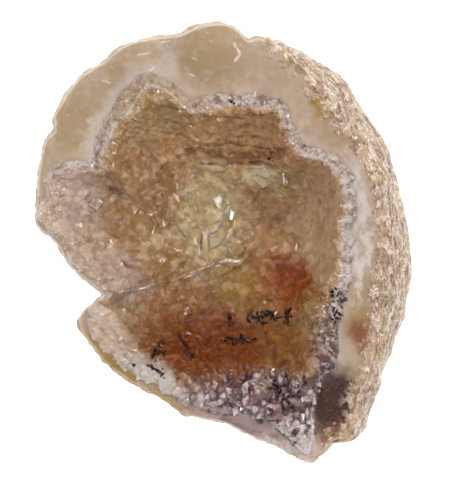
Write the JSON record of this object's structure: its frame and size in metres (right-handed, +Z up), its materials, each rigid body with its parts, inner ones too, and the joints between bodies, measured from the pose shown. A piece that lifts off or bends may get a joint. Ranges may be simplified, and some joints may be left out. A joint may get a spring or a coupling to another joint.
{
  "type": "agate nodule",
  "caption": "Half of a broken agate nodule: a waxy chalcedony wall under a rough tan skin, with a deep hollow lined by small quartz crystals.",
  "frame": {"origin": "on the surface that the stone rests on, under the middle of its bounding box", "axes": "+Z up out of the hollow's side, +Y along the longest extent towards the broad wall with the rounded lobe, +X towards the high flank that keeps its skin"},
  "size_m": [0.0489, 0.056, 0.0247],
  "materials": {
    "chalcedony": "waxy milky chalcedony on the break, rough tan skin outside",
    "quartz_druse": "small glassy quartz crystals, stained brown and orange"
  },
  "bodies": {
    "root": {"agate_nodule": "chalcedony", "crystal_lining": "quartz_druse"}
  },
  "joints": []
}
